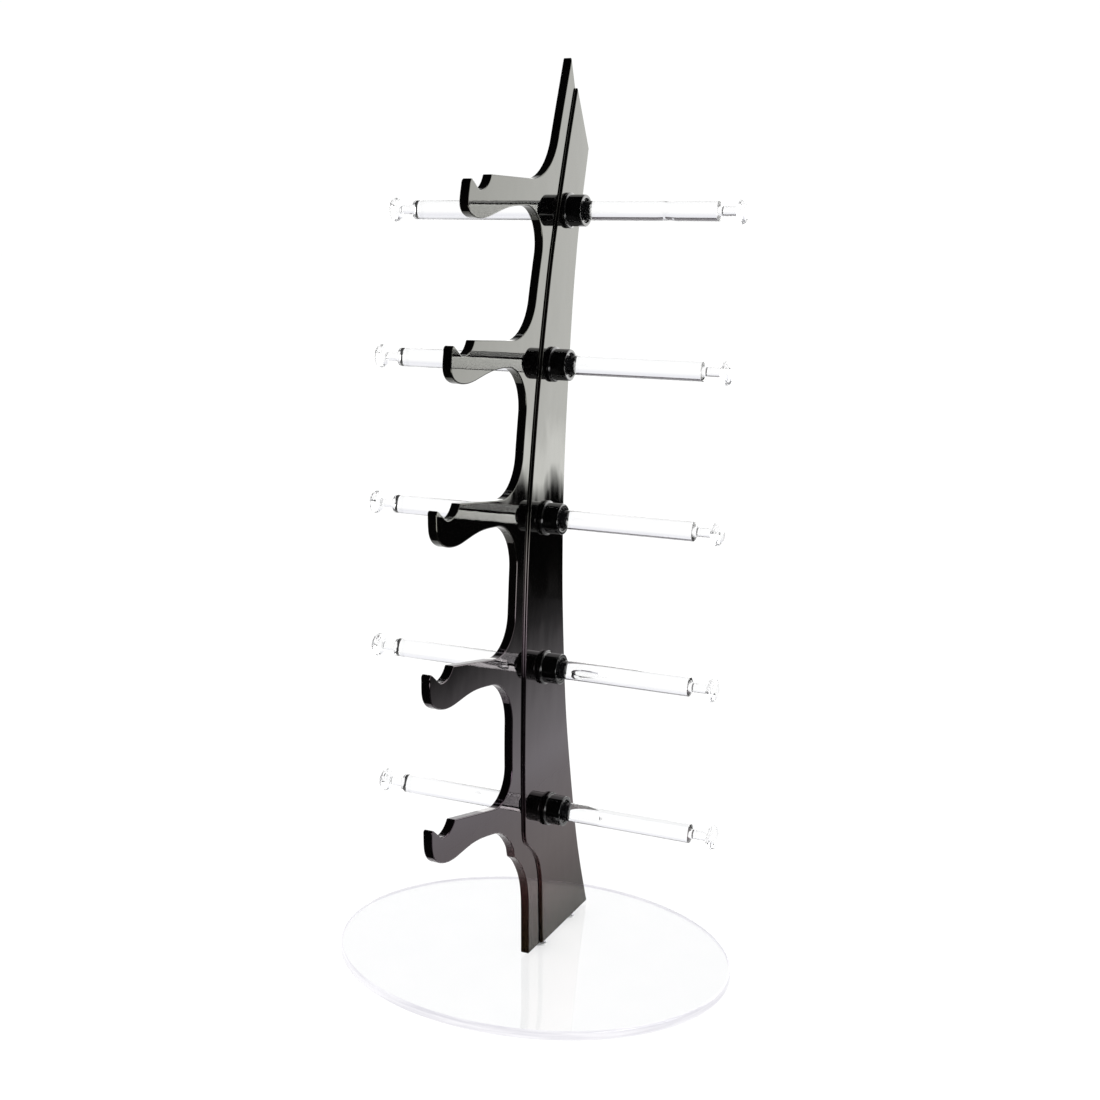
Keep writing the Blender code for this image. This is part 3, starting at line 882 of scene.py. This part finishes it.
def light_sheet(name, corners, start, end, levels, tint=WHITE, swing=0.0):
    """A sheet of graded light that only shows in gloss."""
    sheet = flat_sheet(name, corners, graded_light(name, start, end, levels, tint, swing))
    glossy_only(sheet)
    return sheet


def upright_sheet(name, azimuth_deg, distance, half, bottom, top, levels, tint=WHITE, swing=0.0):
    """An upright light sheet that faces the rack; its levels are by height."""
    corners = [(-half, 0, bottom), (half, 0, bottom), (half, 0, top), (-half, 0, top)]
    obj = light_sheet(name, corners, bottom, top, levels, tint, swing)
    azimuth = math.radians(azimuth_deg)
    obj.location = (distance * math.sin(azimuth), distance * math.cos(azimuth), 0)
    obj.rotation_euler = (0, 0, -azimuth)
    return obj


def floor_sheet(name, azimuth_deg, near, far, half, levels):
    """A light sheet that lies on the floor; its levels are by distance from the rack."""
    corners = [(-half, near, 0), (half, near, 0), (half, far, 0), (-half, far, 0)]
    obj = light_sheet(name, corners, near, far, levels)
    obj.location = (0, 0, SHEET_HEIGHT)
    obj.rotation_euler = (0, 0, -math.radians(azimuth_deg))


def make_world():
    """White to the eye; to glass, white with darkness overhead; to gloss, bright only behind."""
    world = bpy.data.worlds.new("studio")
    bpy.context.scene.world = world
    world.use_nodes = True
    nodes, links = world.node_tree.nodes, world.node_tree.links
    nodes.clear()
    place = nodes.new("ShaderNodeTexCoord")
    split = nodes.new("ShaderNodeSeparateXYZ")
    links.new(place.outputs["Generated"], split.inputs[0])
    behind = nodes.new("ShaderNodeMapRange")
    behind.interpolation_type = "SMOOTHSTEP"
    behind.inputs["From Min"].default_value = -0.15
    behind.inputs["From Max"].default_value = 0.3
    links.new(split.outputs["Y"], behind.inputs["Value"])

    def shade(colour):
        made = nodes.new("ShaderNodeBackground")
        made.inputs["Color"].default_value = (*colour, 1.0)
        return made.outputs["Background"]

    def sky(stops, strength):
        rise = nodes.new("ShaderNodeValToRGB")
        elements = rise.color_ramp.elements
        while len(elements) < len(stops):
            elements.new(0.5)
        for element, (height, colour) in zip(elements, stops):
            element.position = height
            element.color = (*colour, 1.0)
        made = nodes.new("ShaderNodeBackground")
        made.inputs["Strength"].default_value = strength
        links.new(split.outputs["Z"], rise.inputs["Fac"])
        links.new(rise.outputs["Color"], made.inputs["Color"])
        return made.outputs["Background"]

    def mixed(share, first, second):
        mix = nodes.new("ShaderNodeMixShader")
        links.new(share, mix.inputs["Fac"])
        links.new(first, mix.inputs[1])
        links.new(second, mix.inputs[2])
        return mix.outputs["Shader"]

    path = nodes.new("ShaderNodeLightPath")
    out = nodes.new("ShaderNodeOutputWorld")
    gloss_sky = sky(GLOSS_SKY, GLOSS_SKY_STRENGTH)
    gloss = mixed(behind.outputs["Result"], shade((0.008, 0.008, 0.009)), gloss_sky)
    view = mixed(path.outputs["Is Glossy Ray"], shade((1.02, 1.02, 1.02)), gloss)
    all_rays = mixed(path.outputs["Is Transmission Ray"], view, sky(GLASS_SKY, GLASS_SKY_STRENGTH))
    links.new(all_rays, out.inputs["Surface"])


def make_sheets():
    """What gloss shows round the rack: a bright wall, a lamp and a graded floor on the right, and
    a dark floor in front. The clear parts show the wall too, and the dark card."""
    cream = (1.0, 1.0, 0.985)
    wall = upright_sheet("wall_right", 25, 0.43, 0.25, 0.05, 1.0, [
        (0.05, 0.05), (0.065, 0.015), (0.08, 0.006), (0.1195, 0.006), (0.1305, 2.2), (0.139, 4.5),
        (0.155, 4.5), (0.172, 3.7), (0.5, 3.4)], cream, 0.008)
    wall.visible_transmission = True
    dark_card()
    floor_sheet("floor_right", 90, 0.09, 0.6, 0.6, [
        (0.09, 1.07), (0.105, 1.17), (0.115, 1.17), (0.135, 1.02), (0.152, 0.93), (0.169, 0.76),
        (0.188, 0.55), (0.206, 0.42), (0.223, 0.25), (0.237, 0.14), (0.265, 0.06), (0.3, 0.02),
        (0.6, 0.008)])
    upright_sheet("lamp_right", 115, 0.5, 0.25, 0.0, 0.16, [
        (0.0, 2.0), (0.03, 8.0), (0.13, 8.0), (0.16, 2.0)])
    fronts = (("floor_left", -FLOOR_HALF, 0.1, -0.075), ("floor_front", 0.1, FLOOR_HALF, 0))
    for name, left, right, near in fronts:
        corners = [(left, -FLOOR_HALF, 0), (right, -FLOOR_HALF, 0), (right, near, 0), (left, near, 0)]
        dark = light_sheet(name, corners, -FLOOR_HALF, 0.0, [(-FLOOR_HALF, 0.02), (0.0, 0.02)])
        dark.location = (0, 0, SHEET_HEIGHT)


def make_lights():
    """A soft overhead light that shows in no reflection."""
    sun = bpy.data.lights.new("overhead", "SUN")
    sun.energy = SUN_STRENGTH
    sun.angle = math.radians(70)
    lamp = bpy.data.objects.new("overhead", sun)
    bpy.context.scene.collection.objects.link(lamp)
    lamp.rotation_euler = (math.radians(-12), math.radians(-18), 0)
    lamp.visible_glossy = False
    lamp.visible_transmission = False


def make_camera():
    data = bpy.data.cameras.new("camera")
    data.lens = CAMERA_LENS
    data.sensor_width = 36.0
    camera = bpy.data.objects.new("camera", data)
    bpy.context.scene.collection.objects.link(camera)
    camera.location = CAMERA_PLACE
    camera.rotation_euler = [math.radians(angle) for angle in CAMERA_TURN_DEG]
    data.clip_start = 0.01
    data.clip_end = 50.0
    bpy.context.scene.camera = camera


def main():
    bpy.context.scene.view_settings.view_transform = "Standard"
    make_camera()
    make_world()
    make_lights()
    make_floor()
    make_sheets()
    finishes = {
        "clear": clear_acrylic("clear_acrylic_rod", 45, 0.05),
        "hazy": clear_acrylic("clear_acrylic_rod_end", 45, 0.05, clearness=0.94),
        "collar": collar_black(),
        "tapped": tapped_dark(),
        "stud": metal("stud_dark_steel", (0.05, 0.05, 0.052), (0.09, 0.088, 0.085), 0.25, 0.45),
    }
    make_upright(gloss_black())
    make_base(clear_acrylic("clear_acrylic_plate", 20, 0.01, 0.1), painted_light_edge())
    make_screws(metal("screw_zinc_steel", (0.55, 0.55, 0.56), (0.66, 0.66, 0.66), 0.25, 0.4))
    for tier in range(1, len(PEG_Y) + 1):
        make_tier(tier, finishes)


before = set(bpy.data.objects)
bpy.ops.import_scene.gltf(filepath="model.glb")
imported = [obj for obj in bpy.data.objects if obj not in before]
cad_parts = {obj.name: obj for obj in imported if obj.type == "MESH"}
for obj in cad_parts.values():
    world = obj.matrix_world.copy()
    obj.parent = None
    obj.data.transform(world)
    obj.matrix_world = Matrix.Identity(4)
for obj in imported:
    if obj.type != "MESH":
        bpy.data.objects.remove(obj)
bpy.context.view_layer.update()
main()
